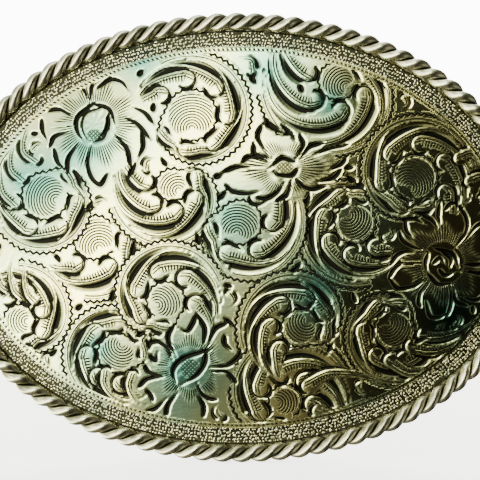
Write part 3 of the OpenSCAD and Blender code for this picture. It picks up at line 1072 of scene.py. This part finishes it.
def rope_silver():
    """Bright worn silver on the outside of each turn; down in the groove a near black that is partly oxide
    and partly painted shade between the wires.
    """
    made, tree, shader, age = metal(
        "rope_silver",
        bright=(0.78, 0.76, 0.58),
        tarnish=(0.30, 0.31, 0.22),
        cloud=260.0,
        amount=0.85,
        gloss=0.22,
        grain=(1500.0, 1500.0, 1500.0),
        dent=0.00002,
    )
    # Partly oxide, partly painted shade: the wire turns near black wherever it lies close to the rope's
    # middle line, down between the turns.
    oxide = ramp_node(tree, reading(tree, "proud"), 0.84, 0.58)
    join(tree, shader.inputs["Base Color"], tint(tree, oxide, age.outputs["Color"], rope_oxide_and_shade))
    join(tree, shader.inputs["Roughness"], sums(tree, "MULTIPLY_ADD", oxide, 0.3, age.outputs["Roughness"]))
    return made


rope_finish = rope_silver()
wire_tree = rope_tree()
for label, node_name, phase in (("one", "rope_strand_one", 0.0), ("two", "rope_strand_two", math.pi)):
    rope_line = bpy.data.curves.new("rope_line", "CURVE")
    rope_line.dimensions = "3D"
    add_oval(rope_line, rope_half_x, rope_half_z, rope_seat, rope_line_steps)
    wire = grow(
        "rope_wire_" + label,
        rope_line,
        wire_tree,
        {
            "Turns": float(rope_turns),
            "Phase": phase,
            "Helix Radius": helix_radius * mm,
            "Wire Radius": strand_radius * mm,
            "Steps": rope_turns * steps_per_turn,
            "Sides": wire_sides,
            "Dome Middle": dome_middle,
            "Finish": rope_finish,
        },
    )
    wire.data.shade_smooth()
    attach(wire, "buckle")
    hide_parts(node_name)

# ---------------------------------------------------------------- solder and brazing
# Silver solder that has run under the rope and round the feet of the hinge and the hook:
# duller and yellower than the sheet, with a slightly pitted skin.
solder, *_ = metal(
    "solder",
    bright=(0.50, 0.48, 0.38),
    tarnish=(0.12, 0.11, 0.08),
    cloud=420.0,
    amount=0.9,
    gloss=0.38,
    grain=(1400.0, 1400.0, 1400.0),
    dent=0.00006,
)
for name in ("rope_solder", "hinge_braze", "hook_braze"):
    finish_node(name, solder)

# ---------------------------------------------------------------- hinge, bail and hook
# Hinge foot and tube and the hook's pad are nickel silver, brazed to the back of the plate.
# The bail, which turns in the tube, and the hook, brazed to its pad, are bent from round
# nickel silver wire and polished.
for name in ("hinge_foot", "hinge_tube", "hook_pad"):
    finish_node(name, nickel_silver)
bail_wire, *_ = metal(
    "bail_wire",
    bright=(0.66, 0.65, 0.60),
    tarnish=(0.34, 0.31, 0.25),
    cloud=180.0,
    amount=0.6,
    gloss=0.18,
    grain=(2200.0, 2200.0, 500.0),
    dent=0.000012,
)
for name in ("bail_loop", "hook_post"):
    finish_node(name, bail_wire)

# ---------------------------------------------------------------- floor, light and camera
# A pale table top just under the buckle and white paper behind it, both seen by the camera
# alone. The silver mirrors three soft panels, on the left, above and behind, and a room
# with a bright band up and to the left and a dim right side.
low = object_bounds()[0]
floor_mesh = bpy.data.meshes.new("floor")
side = 4.0
floor_glow = 3.0
floor_mesh.from_pydata(
    [(-side, -side, low.z), (side, -side, low.z), (side, side, low.z), (-side, side, low.z)],
    [],
    [(0, 1, 2, 3)],
)
floor = bpy.data.objects.new("floor", floor_mesh)
bpy.context.scene.collection.objects.link(floor)
floor_paint = bpy.data.materials.new("floor_paint")
floor_paint.use_nodes = True
floor_tree = floor_paint.node_tree
floor_shader = floor_tree.nodes["Principled BSDF"]
floor_shader.inputs["Base Color"].default_value = (0.93, 0.93, 0.93, 1)
floor_shader.inputs["Roughness"].default_value = 0.7
floor_shader.inputs["Emission Color"].default_value = (1, 1, 1, 1)
floor_shader.inputs["Emission Strength"].default_value = floor_glow
clear_air = floor_tree.nodes.new("ShaderNodeBsdfTransparent")
floor_seen = floor_tree.nodes.new("ShaderNodeLightPath").outputs["Is Camera Ray"]
floor_mix = floor_tree.nodes.new("ShaderNodeMixShader")
floor_tree.links.new(floor_seen, floor_mix.inputs[0])
floor_tree.links.new(clear_air.outputs[0], floor_mix.inputs[1])
floor_tree.links.new(floor_shader.outputs[0], floor_mix.inputs[2])
floor_tree.links.new(floor_mix.outputs[0], floor_tree.nodes["Material Output"].inputs["Surface"])
floor_mesh.materials.append(floor_paint)

studio = bpy.data.worlds.new("studio")
studio.use_nodes = True
bpy.context.scene.world = studio
sky = studio.node_tree
sky.nodes.clear()
bearing = sky.nodes.new("ShaderNodeTexCoord").outputs["Generated"]
split = add(sky, "ShaderNodeSeparateXYZ", Vector=bearing)
toward_light = sums(sky, "MULTIPLY", split.outputs["X"], -0.75)
toward_light = sums(sky, "MULTIPLY_ADD", split.outputs["Z"], 0.66, toward_light)
room = sky.nodes.new("ShaderNodeValToRGB")
room_stops = (
    (-0.92, (0.110, 0.110, 0.084)),
    (-0.68, (0.018, 0.016, 0.011)),
    (-0.36, (0.022, 0.019, 0.013)),
    (-0.22, (0.022, 0.021, 0.015)),
    (-0.15, (0.027, 0.031, 0.026)),
    (-0.07, (0.055, 0.062, 0.050)),
    (0.00, (0.105, 0.118, 0.092)),
    (0.05, (0.32, 0.33, 0.24)),
    (0.10, (0.66, 0.65, 0.46)),
    (0.19, (1.0, 0.99, 0.66)),
    (0.29, (1.0, 1.0, 0.68)),
    (0.38, (0.60, 0.62, 0.44)),
    (0.46, (0.34, 0.36, 0.27)),
    (0.57, (0.22, 0.23, 0.17)),
    (0.74, (0.12, 0.12, 0.09)),
    (1.00, (0.08, 0.08, 0.06)),
)
for i, (bearing_at, shade_of) in enumerate(room_stops):
    stop = 0.5 + bearing_at / 2
    element = room.color_ramp.elements[i] if i < 2 else room.color_ramp.elements.new(stop)
    element.position = stop
    element.color = (*shade_of, 1)
join(sky, room.inputs["Fac"], sums(sky, "MULTIPLY_ADD", toward_light, 0.5, 0.5))
# The room's strength by bearing: full on the left, very low right of the middle, and raised
# again at the far right for the rope's turns.
full_room = 10.0
dim_room = 0.5
far_room = 6.0
paper_strength = 12.0
dim_side = ramp_node(sky, split.outputs["X"], 0.02, 0.28, full_room, dim_room)
far_side = ramp_node(sky, split.outputs["X"], 0.60, 0.85, 0.0, far_room)
room_light = add(sky, "ShaderNodeBackground", Strength=sums(sky, "MAXIMUM", dim_side, far_side))
sky.links.new(room.outputs["Color"], room_light.inputs["Color"])
paper = sky.nodes.new("ShaderNodeBackground")
paper.inputs["Color"].default_value = (1, 1, 1, 1)
paper.inputs["Strength"].default_value = paper_strength
seen = sky.nodes.new("ShaderNodeLightPath").outputs["Is Camera Ray"]
either = sky.nodes.new("ShaderNodeMixShader")
sky.links.new(seen, either.inputs[0])
sky.links.new(room_light.outputs[0], either.inputs[1])
sky.links.new(paper.outputs[0], either.inputs[2])
ground = sky.nodes.new("ShaderNodeOutputWorld")
sky.links.new(either.outputs[0], ground.inputs["Surface"])


def softbox(name, place, aim, width, tall, power, colour):
    """A flat panel of light that faces a point."""
    lamp = bpy.data.lights.new(name, "AREA")
    lamp.shape = "RECTANGLE"
    lamp.size = width
    lamp.size_y = tall
    lamp.energy = power
    lamp.color = colour
    panel = bpy.data.objects.new(name, lamp)
    bpy.context.scene.collection.objects.link(panel)
    panel.location = place
    panel.rotation_euler = (Vector(aim) - Vector(place)).to_track_quat("-Z", "Y").to_euler()


softbox("window_left", (-0.42, -0.34, 0.16), (0, 0, 0), 0.30, 0.36, 0.8, (1.0, 0.95, 0.74))
softbox("sheet_above", (0.05, -0.10, 0.55), (0, 0, 0), 0.45, 0.25, 0.7, (0.90, 0.98, 1.0))
softbox("back_fill", (0.20, 0.55, 0.30), (0, 0, 0), 0.40, 0.40, 3.5, (1.0, 0.98, 0.93))

view_width = 74.5 * mm
camera_data = bpy.data.cameras.new("camera")
camera_data.lens = 90
camera_data.sensor_width = 36
camera = bpy.data.objects.new("camera", camera_data)
bpy.context.scene.collection.objects.link(camera)
distance = view_width * camera_data.lens / camera_data.sensor_width
camera.location = (0.1 * mm, -distance, -0.4 * mm)
camera.rotation_euler = (math.pi / 2, 0, 0)
camera_data.clip_start = 0.01
bpy.context.scene.camera = camera
